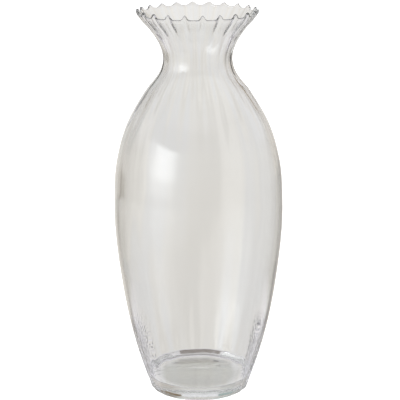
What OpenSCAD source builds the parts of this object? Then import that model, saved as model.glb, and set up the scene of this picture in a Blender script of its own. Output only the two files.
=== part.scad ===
// Mouth-blown vase in clear fluted glass: a thick round base, a full body, a drawn-in neck and a flared lip
// with one scallop to each flute. It is one piece of glass, cut here on level planes into zones that meet face
// to face. The origin is the middle of the underside.

/* [Zones] */
// Height of the solid glass base, up to the floor inside
base_h = 13; // [8:0.5:24]
// Height from the floor inside to the belly, the widest level
body_h = 137; // [100:1:180]
// Height from the belly to the waist, the narrowest level
shoulder_h = 112; // [90:1:150]
// Height from the waist to the scallop tips
flare_h = 38; // [30:1:60]
// Height of the lower body, above the floor inside
lower_body_h = 63; // [45:1:80]
// Height of the upper body, above the belly
upper_body_h = 50; // [35:1:55]
// Part of the neck below the waist
neck_below_waist = 22; // [16:0.5:30]
// Part of the neck above the waist
neck_above_waist = 13; // [8:0.5:18]

/* [Radii of the outside] */
// Radius at the level of the floor inside
floor_level_r = 43; // [36:0.5:50]
// Radius at the belly
belly_r = 65.3; // [56:0.1:80]
// Radius at the waist
waist_r = 26.3; // [22:0.1:34]
// Radius at the scallop tips
lip_r = 47; // [40:0.5:56]

/* [Base] */
// Height of the rounded heel
heel_h = 3; // [2:0.5:7.5]
// Outer radius of the ring that the vase stands on
foot_r = 37.2; // [34:0.1:38]
// Radius of the hollow under the base
punt_r = 33; // [20:0.5:33.5]
// Height of the hollow under the base
punt_h = 0.8; // [0.5:0.1:4]
// Radius of the flat part of the floor inside
floor_r = 35.5; // [28:0.5:36]
// Height of the curve from the floor inside to the wall
floor_curve_h = 3; // [2:0.5:12]

/* [Wall] */
// Thickness just above the curve of the floor inside
foot_wall = 4; // [2.5:0.1:5]
// Thickness at the belly
belly_wall = 2.6; // [2:0.1:4]
// Thickness at the waist
waist_wall = 3; // [2:0.1:4]
// Thickness at the lip
lip_wall = 2.2; // [1.6:0.1:3]

/* [Flutes] */
// Number of flutes, and of scallops
flute_count = 22; // [12:1:28]
// Depth of a flute at the belly
belly_flute_depth = 0.25; // [0.1:0.05:1]
// Depth of a flute at the waist
waist_flute_depth = 0.6; // [0.3:0.1:1.4]
// Depth of a flute at the lip
lip_flute_depth = 1.3; // [0.6:0.1:2]
// Depth of a scallop below the tips
scallop_depth = 3; // [1:0.1:5]
// Angle from straight ahead to the nearest ridge, to the right
ridge_angle = 4.8; // [0:0.1:16]

/* [Hidden] */

// Levels
body_z = base_h + lower_body_h;
belly_z = base_h + body_h;
shoulder_z = belly_z + upper_body_h;
waist_z = belly_z + shoulder_h;
tip_z = waist_z + flare_h;
neck_z = waist_z - neck_below_waist;
rim_z = waist_z + neck_above_waist;

// Fullness of the outside between two levels, as [share of the rise, share of the change in radius]
body_shares = [[0, 0], [0.22, 0.4], [0.56, 0.79], [1, 1]];
shoulder_shares = [[0.31, 0.07], [0.58, 0.31], [0.78, 0.65], [0.93, 0.96], [1, 1]];
flare_shares = [[0.3, 0.14], [0.6, 0.495], [0.8, 0.785], [1, 1]];

// Share of the outer flute depth that shows on the inside of the wall
inner_flute_share = 0.4;

// Facets along and round the glass
steps_per_flute = 4;
columns = flute_count * steps_per_flute;
wall_rows = 4;
neck_rows = 6;
rim_rows = 7;
floor_curve_rows = 4;
round_steps = 8;

glass = [0.86, 0.88, 0.88, 0.55];

// Points [z, r] that the outside runs through
function stretch(z, rise, from_r, to_r, shares) =
    [for (s = shares) [z + rise * s[0], from_r + (to_r - from_r) * s[1]]];
outline = concat(
    stretch(base_h, body_h, floor_level_r, belly_r, body_shares),
    stretch(belly_z, shoulder_h, belly_r, waist_r, shoulder_shares),
    stretch(waist_z, flare_h, waist_r, lip_r, flare_shares));

// Slope of the outside at outline point i: the mean of its two spans, the shorter one counting more
function span_slope(i) = (outline[i + 1][1] - outline[i][1]) / (outline[i + 1][0] - outline[i][0]);
function span(i) = outline[i + 1][0] - outline[i][0];
function knot_slope(i) =
    i == 0 ? span_slope(0) + (span_slope(0) - span_slope(1)) / 2
    : i == len(outline) - 1 ? span_slope(i - 1)
    : (span_slope(i - 1) * span(i) + span_slope(i) * span(i - 1)) / (span(i - 1) + span(i));
function span_at(z, i = 0) = i >= len(outline) - 2 || z <= outline[i + 1][0] ? i : span_at(z, i + 1);

// Radius of the outside at height z: a cubic curve through the outline, carried on straight below it
function cubic(i, t) =
    outline[i][1] * (2 * pow(t, 3) - 3 * pow(t, 2) + 1)
    + knot_slope(i) * span(i) * (pow(t, 3) - 2 * pow(t, 2) + t)
    + outline[i + 1][1] * (3 * pow(t, 2) - 2 * pow(t, 3))
    + knot_slope(i + 1) * span(i) * (pow(t, 3) - pow(t, 2));
function outer_r(z) =
    z <= base_h ? floor_level_r + knot_slope(0) * (z - base_h)
    : let (i = span_at(z)) cubic(i, (z - outline[i][0]) / span(i));
function outer_slope(z) =
    let (step = span(0) / 100) (outer_r(z + step) - outer_r(z - step)) / (2 * step);

// Wall and flutes change evenly from level to level
function wall(z) =
    lookup(z, [[base_h, foot_wall], [belly_z, belly_wall], [waist_z, waist_wall], [tip_z, lip_wall]]);
function flute_depth(z) =
    lookup(z, [[base_h, 0], [belly_z, belly_flute_depth], [waist_z, waist_flute_depth], [tip_z, lip_flute_depth]]);
function inner_r(z) = outer_r(z) - wall(z) * sqrt(1 + pow(outer_slope(z), 2));

// Scallops start above the neck and grow to the lip
function scallop(z) = z <= rim_z ? 0 : scallop_depth * pow((z - rim_z) / (tip_z - rim_z), 2);

// Points of the wall's section, as [radius, height, flute depth, scallop depth]
function outside(z) = [outer_r(z), z, flute_depth(z), scallop(z)];
function inside(z) = [inner_r(z), z, flute_depth(z) * inner_flute_share, scallop(z)];
function levels(from_z, to_z, rows) = [for (i = [0:rows]) from_z + (to_z - from_z) * i / rows];

// Depth of a flute across its width, from 0 on the ridge to 1 in the channel
function channel(angle) = abs(sin(flute_count * angle / 2));

// Glass ring: a closed section carried round the axis, with flutes and scallops
module fluted_ring(section) {
    n = len(section);
    color(glass)
        rotate(ridge_angle - 90)
            polyhedron(
                points = [
                    for (c = [0:columns - 1])
                        let (angle = 360 * c / columns, cut = channel(angle))
                            for (p = section)
                                [
                                    (p[0] - p[2] * cut) * cos(angle),
                                    (p[0] - p[2] * cut) * sin(angle),
                                    p[1] - p[3] * cut
                                ]
                ],
                faces = [
                    for (c = [0:columns - 1])
                        let (here = c * n, next = (c + 1) % columns * n)
                            for (i = [0:n - 1])
                                let (j = (i + 1) % n)
                                    for (f = [[here + i, next + j, next + i], [here + i, here + j, next + j]]) f
                ]);
}

// Section of a plain stretch of wall: up the inside and down the outside
function wall_section(from_z, to_z, rows) =
    let (zs = levels(from_z, to_z, rows))
        concat([for (z = zs) inside(z)], [for (i = [rows:-1:0]) outside(zs[i])]);

// Base: a solid round of glass with a rounded heel and a shallow hollow underneath
module base() {
    heel_r = outer_r(heel_h);
    color(glass)
        rotate_extrude($fn = 4 * columns)
            polygon(concat(
                [for (i = [0:round_steps]) [punt_r * i / round_steps, punt_h * (1 - pow(i / round_steps, 2))]],
                [for (i = [0:round_steps])
                    let (a = 90 * i / round_steps)
                        [foot_r + (heel_r - foot_r) * sin(a), heel_h * (1 - cos(a))]],
                [[floor_level_r, base_h], [0, base_h]]));
}

// Lower body: the wall above the floor, with the curve that the floor ends in
module lower_body() {
    curve_z = base_h + floor_curve_h;
    curve_r = inner_r(curve_z);
    floor_curve = [
        for (i = [0:floor_curve_rows - 1])
            let (a = 90 * i / floor_curve_rows)
                [floor_r + (curve_r - floor_r) * sin(a), base_h + floor_curve_h * (1 - cos(a)), 0, 0]
    ];
    fluted_ring(concat(
        floor_curve,
        [for (z = levels(curve_z, body_z, wall_rows)) inside(z)],
        [for (z = levels(body_z, base_h, wall_rows)) outside(z)]));
}

// Body: the wall up to the belly
module body() {
    fluted_ring(wall_section(body_z, belly_z, wall_rows));
}

// Upper body: the wall that begins to draw in
module upper_body() {
    fluted_ring(wall_section(belly_z, shoulder_z, wall_rows));
}

// Shoulder: the wall that closes towards the neck
module shoulder() {
    fluted_ring(wall_section(shoulder_z, neck_z, wall_rows));
}

// Neck: the wall round the waist
module neck() {
    fluted_ring(wall_section(neck_z, rim_z, neck_rows));
}

// Rim: the wall of the flare, with a rounded lip that dips between the tips
module rim() {
    lip_z = tip_z - lip_wall / 2;
    lip_out = outside(lip_z);
    lip_in = inside(lip_z);
    lip_mid = [(lip_out[0] + lip_in[0]) / 2, tip_z, lip_out[2], scallop_depth];
    fluted_ring(concat(
        [for (z = levels(rim_z, lip_z, rim_rows)) inside(z)],
        [lip_mid],
        [for (z = levels(lip_z, rim_z, rim_rows)) outside(z)]));
}

base();
lower_body();
body();
upper_body();
shoulder();
neck();
rim();
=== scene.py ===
import math

import bmesh
import bpy
from mathutils import Matrix, Vector, noise


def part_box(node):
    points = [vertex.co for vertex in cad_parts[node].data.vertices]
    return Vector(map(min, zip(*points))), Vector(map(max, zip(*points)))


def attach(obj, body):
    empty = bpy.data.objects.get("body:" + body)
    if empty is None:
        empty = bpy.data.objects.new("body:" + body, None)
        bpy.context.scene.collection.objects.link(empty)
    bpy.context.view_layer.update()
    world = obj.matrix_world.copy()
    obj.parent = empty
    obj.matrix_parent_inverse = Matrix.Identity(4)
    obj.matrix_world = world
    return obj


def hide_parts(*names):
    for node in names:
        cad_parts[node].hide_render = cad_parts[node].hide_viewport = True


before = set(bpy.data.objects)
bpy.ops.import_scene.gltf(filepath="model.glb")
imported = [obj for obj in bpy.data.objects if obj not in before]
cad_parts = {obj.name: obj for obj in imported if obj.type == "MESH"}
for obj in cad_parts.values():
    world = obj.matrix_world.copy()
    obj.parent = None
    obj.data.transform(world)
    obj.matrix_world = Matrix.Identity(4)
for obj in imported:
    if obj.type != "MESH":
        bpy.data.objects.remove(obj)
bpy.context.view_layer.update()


# The vase itself: one piece of clear glass, blown into a ribbed mould and drawn out by hand, so its flutes
# run unbroken from the heel to the lip. The lip is fire polished, and the base is left thick and heavy.
floor_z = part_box("base")[1].z  # level of the floor inside
belly_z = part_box("body")[1].z
neck_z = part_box("shoulder")[1].z
flare_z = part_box("neck")[1].z  # where the scallops begin to grow
tip_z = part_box("rim")[1].z
neck_below_waist = 0.022
waist_z = neck_z + neck_below_waist

heel_h = 0.003
foot_r = 0.0372
punt_r = 0.033  # the punt is the shallow hollow underneath
punt_h = 0.0008
floor_r = 0.0408
floor_curve_h = 0.001

floor_level_r = 0.043
belly_r = 0.0653
waist_r = 0.0263
lip_r = 0.047
lip_wall = 0.0022

# Fullness of the outside between two levels: share of the rise, share of the change in radius
body_shares = [(0, 0), (0.22, 0.4), (0.56, 0.79), (1, 1)]
shoulder_shares = [(0.31, 0.07), (0.58, 0.31), (0.78, 0.65), (0.93, 0.96), (1, 1)]
flare_shares = [(0.3, 0.14), (0.6, 0.495), (0.8, 0.785), (1, 1)]


def stretch(start, end, shares):
    """Points of the outline between two of its levels, each a pair of height and radius."""
    (z0, r0), (z1, r1) = start, end
    return [(z0 + (z1 - z0) * h, r0 + (r1 - r0) * r) for h, r in shares]


outline = (
    stretch((floor_z, floor_level_r), (belly_z, belly_r), body_shares)
    + stretch((belly_z, belly_r), (waist_z, waist_r), shoulder_shares)
    + stretch((waist_z, waist_r), (tip_z, lip_r), flare_shares)
)


def curve_slopes(points):
    """Slope of a smooth curve at each of its points."""
    spans = [b[0] - a[0] for a, b in zip(points, points[1:])]
    rises = [(b[1] - a[1]) / s for a, b, s in zip(points, points[1:], spans)]
    inner = [
        (rises[i] * spans[i + 1] + rises[i + 1] * spans[i]) / (spans[i] + spans[i + 1])
        for i in range(len(rises) - 1)
    ]
    return [rises[0] + (rises[0] - rises[1]) / 2] + inner + [rises[-1]]


def on_curve(points, slopes, x):
    """Value at x of the smooth curve through points, carried on straight outside them."""
    if x <= points[0][0]:
        return points[0][1] + slopes[0] * (x - points[0][0])
    if x >= points[-1][0]:
        return points[-1][1] + slopes[-1] * (x - points[-1][0])
    i = max(k for k in range(len(points) - 1) if points[k][0] <= x)
    (x0, y0), (x1, y1) = points[i], points[i + 1]
    span = x1 - x0
    t = (x - x0) / span
    return (
        y0 * (2 * t**3 - 3 * t**2 + 1)
        + slopes[i] * span * (t**3 - 2 * t**2 + t)
        + y1 * (3 * t**2 - 2 * t**3)
        + slopes[i + 1] * span * (t**3 - t**2)
    )


outline_slopes = curve_slopes(outline)

# What changes from level to level, each as pairs of a height and a value: the thickness of the wall, how far
# the bore lies off the axis, the depth of a flute on the outside, and how round the ridges between flutes are
walls = [
    (0.016, 0.0016),
    (0.05, 0.0016),
    (0.1, 0.0015),
    (0.16, 0.0033),
    (0.225, 0.0034),
    (waist_z, 0.003),
    (tip_z, lip_wall),
]
bore_shifts = [(0.1, 0), (0.16, 0.0018), (0.222, 0.0018), (0.248, 0)]
flute_depths = [
    (0, 0.0003),
    (floor_z, 0.0004),
    (0.06, 0.0001),
    (0.2, 0.0001),
    (waist_z, 0.0006),
    (tip_z, 0.0013),
]
ridge_widths = [(0, 0.6), (belly_z, 0.5), (waist_z, 0.15), (tip_z, 0.08)]


def between(levels, z):
    """Value at height z, changing evenly from level to level."""
    if z <= levels[0][0]:
        return levels[0][1]
    for (z0, v0), (z1, v1) in zip(levels, levels[1:]):
        if z <= z1:
            return v0 + (v1 - v0) * (z - z0) / (z1 - z0)
    return levels[-1][1]


def outer_r(z):
    """Radius of the outside at height z, on a ridge."""
    return on_curve(outline, outline_slopes, z)


def inner_r(z):
    """Radius of the inside at height z, with the wall's thickness measured square to the wall."""
    reach = 0.0002
    slope = (outer_r(z + reach) - outer_r(z - reach)) / (2 * reach)
    return outer_r(z) - between(walls, z) * math.hypot(1, slope)


def steps(start, end, count):
    """Numbers at even steps from start to end, both included."""
    return [start + (end - start) * i / count for i in range(count + 1)]


# Section of the glass from the middle of the underside, out round the heel, up the outside, over the lip and
# down the inside to the middle of the floor
underside_steps = 20
heel_steps = 8
outside_steps = 110
lip_steps = 8
inside_steps = 105
floor_curve_steps = 14
floor_steps = 24

quarter = math.pi / 2
heel_r = outer_r(heel_h)
curve_z = floor_z + floor_curve_h
curve_r = inner_r(curve_z)
lip_z = tip_z - lip_wall / 2
lip_mid_r = (outer_r(lip_z) + inner_r(lip_z)) / 2
underside = [(r, punt_h * (1 - (r / punt_r) ** 2) ** 2) for r in steps(0, punt_r, underside_steps)]
heel = [
    (foot_r + (heel_r - foot_r) * math.sin(a), heel_h * (1 - math.cos(a)))
    for a in steps(0, quarter, heel_steps)
]
outside = [(outer_r(z), z) for z in steps(heel_h, lip_z, outside_steps)[1:]]
lip = [
    (lip_mid_r + (outer_r(lip_z) - lip_mid_r) * math.cos(a), lip_z + lip_wall / 2 * math.sin(a))
    for a in steps(0, 2 * quarter, lip_steps)[1:-1]
]
inside = [(inner_r(z), z) for z in steps(lip_z, curve_z, inside_steps)]
floor_curve = [
    (floor_r + (curve_r - floor_r) * math.cos(a), floor_z + floor_curve_h * (1 - math.sin(a)))
    for a in steps(0, quarter, floor_curve_steps)[1:]
]
floor_inside = [(r, floor_z) for r in steps(floor_r, 0, floor_steps)[1:]]

flute_count = 22
columns_per_flute = 14
ridge_angle = 4.8  # degrees from straight in front to the nearest ridge, to the right
ridge_turn = math.radians(ridge_angle - 90)
inner_flute_share = 0.4  # the flutes are shallower on the inside

scallop_depth = 0.003
scallop_change = 0.15  # the scallops are deeper at the front than at the back, by this share either way
tip_width = 0.1  # how round the tips are, as in ridge_widths
valley_reach = 1.4  # at the front, a valley reaches its full depth sooner by this factor, and is flat there
valley_power = 1.6  # the greater this is, the broader are the tips beside it
lip_drop = 0.0009  # the lip is drawn down by this at its sides
lip_tilt = 0.0014  # by so much more at the front, and so much less at the back
lip_bow = 0.0005  # and by so much less at both

foot_slant = 0.0004  # the foot is ground off at a slight slant, and clears the table by twice this in front
wave_length = 0.022  # unevenness that the blowing leaves in the thickness, drawn out upwards
wave_depth = 0.00008
wave_squeeze = 0.6
wave_offset = 3  # where in the noise the inside of the wall lies
dent_length = 0.006  # dents in the floor inside, and under the base from dent_r outwards
dent_depth = 0.00017
dent_r = 0.017
dent_rise = 0.005  # under the base they grow over this width
dent_fall = 0.006  # and die out over this one, before the end of the punt
dent_offset = 5  # keeps the dents of the floor unlike those under the base
dent_change = 0.7  # the dents are deeper at the back than at the front, by this share either way
floor_dent_share = 0.3  # and shallower in the floor than under the base

vase_mesh = bmesh.new()
inner_layer = vase_mesh.verts.layers.float.new("inner")  # 0 on the outside of the glass, 1 on the inside
dent_layer = vase_mesh.verts.layers.float.new("dent")  # share of the dents' depth
section = underside + heel + outside + lip + inside + floor_curve + floor_inside
outer_count = len(underside + heel + outside)
section_verts = []
for i, (r, z) in enumerate(section):
    vert = vase_mesh.verts.new((r, 0, z))
    vert[inner_layer] = min(1, max(0, (i - outer_count) / len(lip)))
    if i < len(underside):
        vert[dent_layer] = min(1, max(0, (r - dent_r) / dent_rise), (punt_r - r) / dent_fall)
    if z < curve_z and i > outer_count:
        vert[dent_layer] = floor_dent_share - floor_dent_share * (z - floor_z) / floor_curve_h
    section_verts.append(vert)
section_edges = [vase_mesh.edges.new(pair) for pair in zip(section_verts, section_verts[1:])]
bmesh.ops.spin(
    vase_mesh,
    geom=section_verts + section_edges,
    cent=(0, 0, 0),
    axis=(0, 0, 1),
    angle=4 * quarter,
    steps=flute_count * columns_per_flute,
    use_merge=True,
)
bmesh.ops.remove_doubles(vase_mesh, verts=vase_mesh.verts, dist=1e-6)
bmesh.ops.recalc_face_normals(vase_mesh, faces=vase_mesh.faces)


def channel(angle, ridge_width):
    """Depth of a flute across its width: 0 on the ridge, 1 in the middle of the channel."""
    wave = math.sin(flute_count * angle / 2)
    lowest, highest = ridge_width, math.hypot(1, ridge_width)
    return (math.hypot(wave, ridge_width) - lowest) / (highest - lowest)


for vert in vase_mesh.verts:
    x, y, z = vert.co
    r = math.hypot(x, y)
    angle = math.atan2(y, x)
    inner = vert[inner_layer]
    front = math.cos(angle + ridge_turn + quarter)  # 1 at the front, -1 at the back

    # Flutes, which die out towards the middle of the base
    fade = min(1, max(0, (r - floor_r / 2) / (floor_r / 2)))
    cut = channel(angle, between(ridge_widths, z))
    depth = between(flute_depths, z) * (1 - inner * (1 - inner_flute_share)) * fade

    # Scallops, which start above the neck and grow to the lip
    grow = max(0, z - flare_z) / (tip_z - flare_z)
    notch = channel(angle, tip_width)
    step = min(1, valley_reach * notch)
    flat_notch = step**valley_power * (1 + valley_power - valley_power * step)
    notch = notch + (flat_notch - notch) * (1 + front) / 2
    drop = scallop_depth * (1 + scallop_change * front) * notch
    lower = lip_drop + lip_tilt * front - lip_bow * front**2

    # Unevenness of the glass and its foot
    foot_lift = foot_slant * (1 + x / foot_r) * max(0, 1 - z / floor_z)
    place = Vector((x, y, z * wave_squeeze)) / wave_length + Vector((0, 0, wave_offset * inner))
    uneven = noise.noise(place) * wave_depth * fade
    dent = 0.5 + 0.5 * noise.noise(Vector((x, y, dent_offset * inner)) / dent_length)
    sag = dent * dent_depth * (1 - dent_change * front) * vert[dent_layer]

    new_r = r - depth * cut + uneven * inner
    vert.co = (
        new_r * math.cos(angle + ridge_turn) + between(bore_shifts, z) * inner,
        new_r * math.sin(angle + ridge_turn),
        z - (drop + lower) * grow**2 + foot_lift + sag,
    )

vase_data = bpy.data.meshes.new("vase")
vase_mesh.to_mesh(vase_data)
vase_mesh.free()
vase_data.shade_smooth()
vase = bpy.data.objects.new("vase", vase_data)
bpy.context.scene.collection.objects.link(vase)


def feed(tree, value, socket):
    """Links another node's output to a socket, or sets a plain value on it."""
    if isinstance(value, bpy.types.NodeSocket):
        tree.links.new(value, socket)
    else:
        socket.default_value = value


def mapped(tree, value, start, end, low=0.0, high=1.0, kind="SMOOTHSTEP"):
    """Output of a node that carries a value from low, at start, to high, at end."""
    node = tree.nodes.new("ShaderNodeMapRange")
    node.interpolation_type = kind
    node.inputs["From Min"].default_value = start
    node.inputs["From Max"].default_value = end
    node.inputs["To Min"].default_value = low
    node.inputs["To Max"].default_value = high
    feed(tree, value, node.inputs["Value"])
    return node.outputs["Result"]


def worked_out(tree, operation, *values):
    """Output of a math node, from plain values or other nodes' outputs."""
    node = tree.nodes.new("ShaderNodeMath")
    node.operation = operation
    for socket, value in zip(node.inputs, values):
        feed(tree, value, socket)
    return node.outputs["Value"]


def scaled(tree, vector, factors):
    """Output of a node that multiplies each part of a vector by its own factor."""
    node = tree.nodes.new("ShaderNodeVectorMath")
    node.operation = "MULTIPLY"
    feed(tree, vector, node.inputs[0])
    feed(tree, factors, node.inputs[1])
    return node.outputs["Vector"]


def mixed(tree, kind, first, second, factor=1.0):
    """Output of a node that mixes two colours, from plain values or other nodes' outputs."""
    node = tree.nodes.new("ShaderNodeMix")
    node.data_type = "RGBA"
    node.blend_type = kind
    feed(tree, factor, node.inputs["Factor"])
    feed(tree, first, node.inputs["A"])
    feed(tree, second, node.inputs["B"])
    return node.outputs["Result"]


clear_colour = (0.95, 0.955, 0.955, 1)
# painted shade: a dark grey tint under the base darkens the floor seen through the glass
painted_shade_colour = (0.38, 0.39, 0.33, 1)
wear_and_shade_top = 0.005  # wear and painted shade start at this height, fully from the next one down
wear_and_shade_full = 0.002
matt_ring_start = 0.0355  # it leaves the glass matt outside this radius, fully from matt_ring_full on
matt_ring_full = 0.0375
matt_roughness = 0.5
painted_shade_start = 0.036  # painted shade, a darker tint inside this radius, full from the next one in
painted_shade_full = 0.026
ripple_top = 0.065  # the ripples start at this height, and are full from ripple_full down
ripple_full = 0.03
ripple_strength = 0.8
ripple_side_start = 0.031  # so far out to either side, less wall_lean of the height, as the wall leans out
ripple_side_full = 0.038
wall_lean = 0.25

clear_glass = bpy.data.materials.new("clear_glass")
clear_glass.use_nodes = True
glass = clear_glass.node_tree
glass_output = glass.nodes["Material Output"]
shader = glass.nodes["Principled BSDF"]
shader.inputs["Roughness"].default_value = 0.0
shader.inputs["IOR"].default_value = 1.5
shader.inputs["Transmission Weight"].default_value = 1.0
where = glass.nodes.new("ShaderNodeTexCoord")
spot = glass.nodes.new("ShaderNodeSeparateXYZ")
glass.links.new(where.outputs["Object"], spot.inputs["Vector"])
from_axis = glass.nodes.new("ShaderNodeVectorMath")
from_axis.operation = "LENGTH"
glass.links.new(scaled(glass, where.outputs["Object"], (1, 1, 0)), from_axis.inputs[0])

# Wear: a matt ring where the vase stands; and painted shade, a grey tint under the base within it
wear_and_shade = mapped(glass, spot.outputs["Z"], wear_and_shade_top, wear_and_shade_full)
ring = mapped(glass, from_axis.outputs["Value"], matt_ring_start, matt_ring_full, high=matt_roughness)
glass.links.new(worked_out(glass, "MULTIPLY", wear_and_shade, ring), shader.inputs["Roughness"])
painted_shade_area = mapped(glass, from_axis.outputs["Value"], painted_shade_start, painted_shade_full)
painted_shade = worked_out(glass, "MULTIPLY", wear_and_shade, painted_shade_area)
glass.links.new(mixed(glass, "MIX", clear_colour, painted_shade_colour, painted_shade), shader.inputs["Base Color"])

# Ripples that the mould leaves at both sides of the foot, drawn out from front to back
grain = glass.nodes.new("ShaderNodeTexNoise")
grain.inputs["Scale"].default_value = 480
grain.inputs["Detail"].default_value = 1
glass.links.new(scaled(glass, where.outputs["Object"], (1, 0.5, 1)), grain.inputs["Vector"])
near_foot = mapped(glass, spot.outputs["Z"], ripple_top, ripple_full, high=ripple_strength)
sideways = worked_out(glass, "ABSOLUTE", spot.outputs["X"])
beside_foot = worked_out(glass, "MULTIPLY_ADD", spot.outputs["Z"], -wall_lean, sideways)
at_sides = mapped(glass, beside_foot, ripple_side_start, ripple_side_full)
ripple = glass.nodes.new("ShaderNodeBump")
ripple.inputs["Distance"].default_value = 0.0022
glass.links.new(worked_out(glass, "MULTIPLY", near_foot, at_sides), ripple.inputs["Strength"])
glass.links.new(grain.outputs["Fac"], ripple.inputs["Height"])
glass.links.new(ripple.outputs["Normal"], shader.inputs["Normal"])

# The glass throws no shadow of its own on the table, and its body takes up a little light where it is thick
shadow_free = glass.nodes.new("ShaderNodeBsdfTransparent")
light_path = glass.nodes.new("ShaderNodeLightPath")
pick = glass.nodes.new("ShaderNodeMixShader")
glass.links.new(light_path.outputs["Is Shadow Ray"], pick.inputs["Fac"])
glass.links.new(shader.outputs["BSDF"], pick.inputs[1])
glass.links.new(shadow_free.outputs["BSDF"], pick.inputs[2])
glass.links.new(pick.outputs["Shader"], glass_output.inputs["Surface"])
tint = glass.nodes.new("ShaderNodeVolumeAbsorption")
tint.inputs["Color"].default_value = (0.55, 0.57, 0.56, 1)
tint.inputs["Density"].default_value = 7.0
glass.links.new(tint.outputs["Volume"], glass_output.inputs["Volume"])
vase_data.materials.append(clear_glass)

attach(vase, "root")
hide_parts("base", "lower_body", "body", "upper_body", "shoulder", "neck", "rim")


# The floor: a plain pale sheet that the vase stands on, far wider than the view. It glows a little, so that
# it shows as white, and the glass doesn't pick it up.
floor_reach = 30
floor_mesh = bmesh.new()
bmesh.ops.create_grid(floor_mesh, x_segments=1, y_segments=1, size=floor_reach)
floor_data = bpy.data.meshes.new("floor")
floor_mesh.to_mesh(floor_data)
floor_mesh.free()
floor = bpy.data.objects.new("floor", floor_data)
bpy.context.scene.collection.objects.link(floor)
pale = bpy.data.materials.new("pale_floor")
pale.use_nodes = True
pale_shader = pale.node_tree.nodes["Principled BSDF"]
pale_shader.inputs["Base Color"].default_value = (0.9, 0.9, 0.9, 1)
pale_shader.inputs["Roughness"].default_value = 0.9
pale_shader.inputs["Emission Color"].default_value = (1, 1, 1, 1)
pale_shader.inputs["Emission Strength"].default_value = 0.8
floor_data.materials.append(pale)
floor.visible_glossy = False
floor.visible_transmission = False


# The studio: a light room that only the glass picks up, and plain white behind all that the camera sees
# straight. Its tints stand where the glass bends the view of its edges, its heel and its floor. Heights are
# degrees above the horizon, and sides degrees to the right of straight behind the vase.
room_heights = [
    (-90, (0.86, 0.84, 0.83)),
    (-80, (0.80, 0.78, 0.76)),
    (-50, (0.64, 0.62, 0.66)),
    (-27, (0.66, 0.64, 0.67)),
    (-22, (0.775, 0.75, 0.715)),
    (-15, (0.78, 0.755, 0.725)),
    (-10, (0.815, 0.79, 0.76)),
    (-6, (0.85, 0.825, 0.795)),
    (2, (0.87, 0.845, 0.82)),
    (14, (0.88, 0.88, 0.89)),
    (35, (0.82, 0.82, 0.82)),
    (50, (1.2, 1.2, 1.2)),
    (70, (1.2, 1.2, 1.2)),
]
plain = (1, 1, 1)
warm = (1.005, 1, 0.98)
cool = (0.985, 1, 1.02)
brown_shade = (0.18, 0.14, 0.10)
grey_shade = (0.40, 0.38, 0.36)
bright_strip = (1.65, 1.7, 1.8)
bright_left = (1.45, 1.46, 1.5)
bright_right = (1.55, 1.56, 1.6)
green_card = (0.52, 0.63, 0.61)
white_card = (1.18, 1.17, 1.2)
brown_card = (0.30, 0.21, 0.11)
# Tints round the room in bands from below upwards, each with the two heights between which it takes over from
# the one below
room_bands = [
    ((-80, -74), [(-55, plain), (-36, brown_shade), (36, brown_shade), (55, plain)]),
    (
        (-53, -49),
        [
            (-70, plain),
            (-60, bright_left),
            (-44, bright_left),
            (-35, grey_shade),
            (-23, grey_shade),
            (-18, bright_strip),
            (-14, bright_strip),
            (-10, (1.05, 1.05, 1.0)),
            (10, (1.05, 1.05, 1.0)),
            (14, bright_strip),
            (18, bright_strip),
            (23, grey_shade),
            (35, grey_shade),
            (44, bright_right),
            (60, bright_right),
            (70, plain),
        ],
    ),
    (
        (-27, -23),
        [
            (-90, plain),
            (-66, (0.75, 0.73, 0.70)),
            (-50, (0.52, 0.50, 0.46)),
            (-35, (0.48, 0.46, 0.42)),
            (-30, (0.80, 0.78, 0.74)),
            (-26, (0.95, 0.93, 0.90)),
            (-15, warm),
            (-9, warm),
            (-6, cool),
            (-4, cool),
            (-2, warm),
            (1, warm),
            (3, cool),
            (6, cool),
            (9, warm),
            (16, (0.90, 0.89, 0.88)),
            (22, (0.50, 0.49, 0.48)),
            (38, (0.46, 0.45, 0.44)),
            (52, (0.62, 0.61, 0.60)),
            (66, (0.80, 0.79, 0.77)),
            (90, plain),
        ],
    ),
    (
        (-9, -5),
        [
            (-100, plain),
            (-60, (0.78, 0.76, 0.74)),
            (-32, (0.74, 0.73, 0.71)),
            (-28, (0.70, 0.72, 0.71)),
            (-20, (0.72, 0.74, 0.73)),
            (-14, plain),
            (-9, warm),
            (-6, cool),
            (-4, cool),
            (-2, warm),
            (1, warm),
            (3, cool),
            (6, cool),
            (9, warm),
            (12, plain),
            (17, (0.90, 0.88, 0.86)),
            (24, (0.76, 0.73, 0.69)),
            (42, (0.76, 0.72, 0.67)),
            (50, (0.80, 0.78, 0.75)),
            (100, plain),
        ],
    ),
    (
        (12, 18),
        [
            (-100, plain),
            (-38, (0.80, 0.79, 0.76)),
            (-30, green_card),
            (-16, green_card),
            (-11, white_card),
            (17, white_card),
            (22, brown_card),
            (38, brown_card),
            (46, (0.82, 0.81, 0.79)),
            (100, plain),
        ],
    ),
]
# The window at the front left: its glow by height, and its share by side
window_heights = [(-42, 0), (-35, 0.45), (-12, 0.6), (-2, 1.6), (8, 3.2), (20.5, 3.2), (22, 0)]
window_sides = [
    (-158, 0),
    (-147, 0.2),
    (-144, 0.35),
    (-141, 0.8),
    (-133, 1),
    (-114, 1),
    (-108, 0.45),
    (-104, 0.3),
    (-96, 0.25),
    (-90, 0),
]
window_colour = (0.95, 0.98, 1.0, 1)
# The upright folds of a thin curtain all round: the span of the noise that counts, and the share by which it
# changes the light either way
fold_start = 0.3
fold_end = 0.7
fold_depth = 0.05


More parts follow.
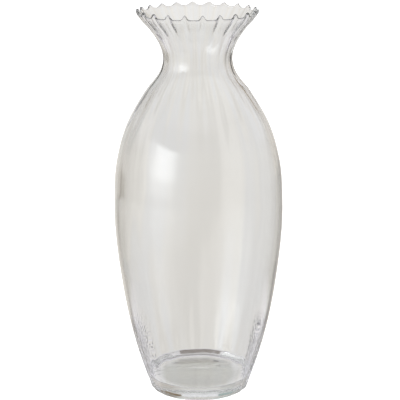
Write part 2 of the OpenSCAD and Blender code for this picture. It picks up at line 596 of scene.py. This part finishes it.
def ramp(tree, value, stops):
    """Output of a colour ramp, with stops that are each a pair of a position and a colour."""
    node = tree.nodes.new("ShaderNodeValToRGB")
    node.color_ramp.interpolation = "EASE"
    for stop in stops[2:]:
        node.color_ramp.elements.new(1.0)
    for element, (position, colour) in zip(node.color_ramp.elements, stops):
        element.position = position
        element.color = (*colour, 1)
    tree.links.new(value, node.inputs["Fac"])
    return node.outputs["Color"]


def rise(degrees):
    """Upward part of a direction so many degrees above the horizon."""
    return math.sin(math.radians(degrees))


def by_height(stops):
    """Stops of a ramp over the whole height of the room, from straight down to straight up."""
    return [((1 + rise(degrees)) / 2, colour) for degrees, colour in stops]


def by_side(stops):
    """Stops of a ramp all round the room, with its middle straight behind the vase."""
    return [(0.5 + degrees / 360, colour) for degrees, colour in stops]


def greys(stops):
    """Stops with a grey in place of each plain value."""
    return [(degrees, (value, value, value)) for degrees, value in stops]


world = bpy.data.worlds.new("studio")
bpy.context.scene.world = world
world.use_nodes = True
studio = world.node_tree
studio.nodes.clear()
direction = studio.nodes.new("ShaderNodeTexCoord")
parts = studio.nodes.new("ShaderNodeSeparateXYZ")
studio.links.new(direction.outputs["Generated"], parts.inputs["Vector"])
azimuth = worked_out(studio, "ARCTAN2", parts.outputs["X"], parts.outputs["Y"])
height = mapped(studio, parts.outputs["Z"], -1.0, 1.0, kind="LINEAR")
side = mapped(studio, azimuth, -math.pi, math.pi, kind="LINEAR")

tint_round = (*plain, 1)
for (start, end), stops in room_bands:
    above = mapped(studio, parts.outputs["Z"], rise(start), rise(end))
    tint_round = mixed(studio, "MIX", tint_round, ramp(studio, side, by_side(stops)), above)
walls_light = mixed(studio, "MULTIPLY", ramp(studio, height, by_height(room_heights)), tint_round)

window_rise = ramp(studio, height, by_height(greys(window_heights)))
window_width = ramp(studio, side, by_side(greys(window_sides)))
window = mixed(studio, "MULTIPLY", window_rise, window_width)
daylight = mixed(studio, "MULTIPLY", window, window_colour)

folds = studio.nodes.new("ShaderNodeTexNoise")
folds.noise_dimensions = "1D"
folds.inputs["Scale"].default_value = 22
folds.inputs["Detail"].default_value = 2
studio.links.new(azimuth, folds.inputs["W"])
fold_light = mapped(
    studio, folds.outputs["Fac"], fold_start, fold_end, 1 - fold_depth, 1 + fold_depth, "LINEAR"
)

room = studio.nodes.new("ShaderNodeBackground")
studio.links.new(mixed(studio, "ADD", walls_light, daylight), room.inputs["Color"])
studio.links.new(fold_light, room.inputs["Strength"])
behind = studio.nodes.new("ShaderNodeBackground")
behind.inputs["Color"].default_value = (1, 1, 1, 1)
behind.inputs["Strength"].default_value = 1.0
seen = studio.nodes.new("ShaderNodeLightPath")
choose = studio.nodes.new("ShaderNodeMixShader")
studio.links.new(seen.outputs["Is Camera Ray"], choose.inputs["Fac"])
studio.links.new(room.outputs["Background"], choose.inputs[1])
studio.links.new(behind.outputs["Background"], choose.inputs[2])
studio_output = studio.nodes.new("ShaderNodeOutputWorld")
studio.links.new(choose.outputs["Shader"], studio_output.inputs["Surface"])


# The camera: a long lens a little above the lip, tipped down and turned by a hair, with the vase filling the
# height of the view. Light may bend many times in the glass before it is lost.
sensor_width = 36
view_width = 400
focal_pixels = 1196  # focal length, in pixels of a view that is view_width pixels wide
camera_place = (0, -0.9, 0.3787)
aim = Vector((0.0012, 0, 0.1519))
lean = math.radians(0.33)
light_bounces = 32

camera_data = bpy.data.cameras.new("camera")
camera_data.sensor_width = sensor_width
camera_data.lens = sensor_width * focal_pixels / view_width
camera_data.clip_end = 100
camera = bpy.data.objects.new("camera", camera_data)
bpy.context.scene.collection.objects.link(camera)
camera.location = camera_place
look = (aim - camera.location).to_track_quat("-Z", "Y").to_matrix() @ Matrix.Rotation(-lean, 3, "Z")
camera.rotation_euler = look.to_euler()
bpy.context.scene.camera = camera
bpy.context.scene.view_settings.view_transform = "Standard"
bpy.context.scene.cycles.max_bounces = light_bounces
bpy.context.scene.cycles.transmission_bounces = light_bounces
bpy.context.scene.cycles.glossy_bounces = light_bounces
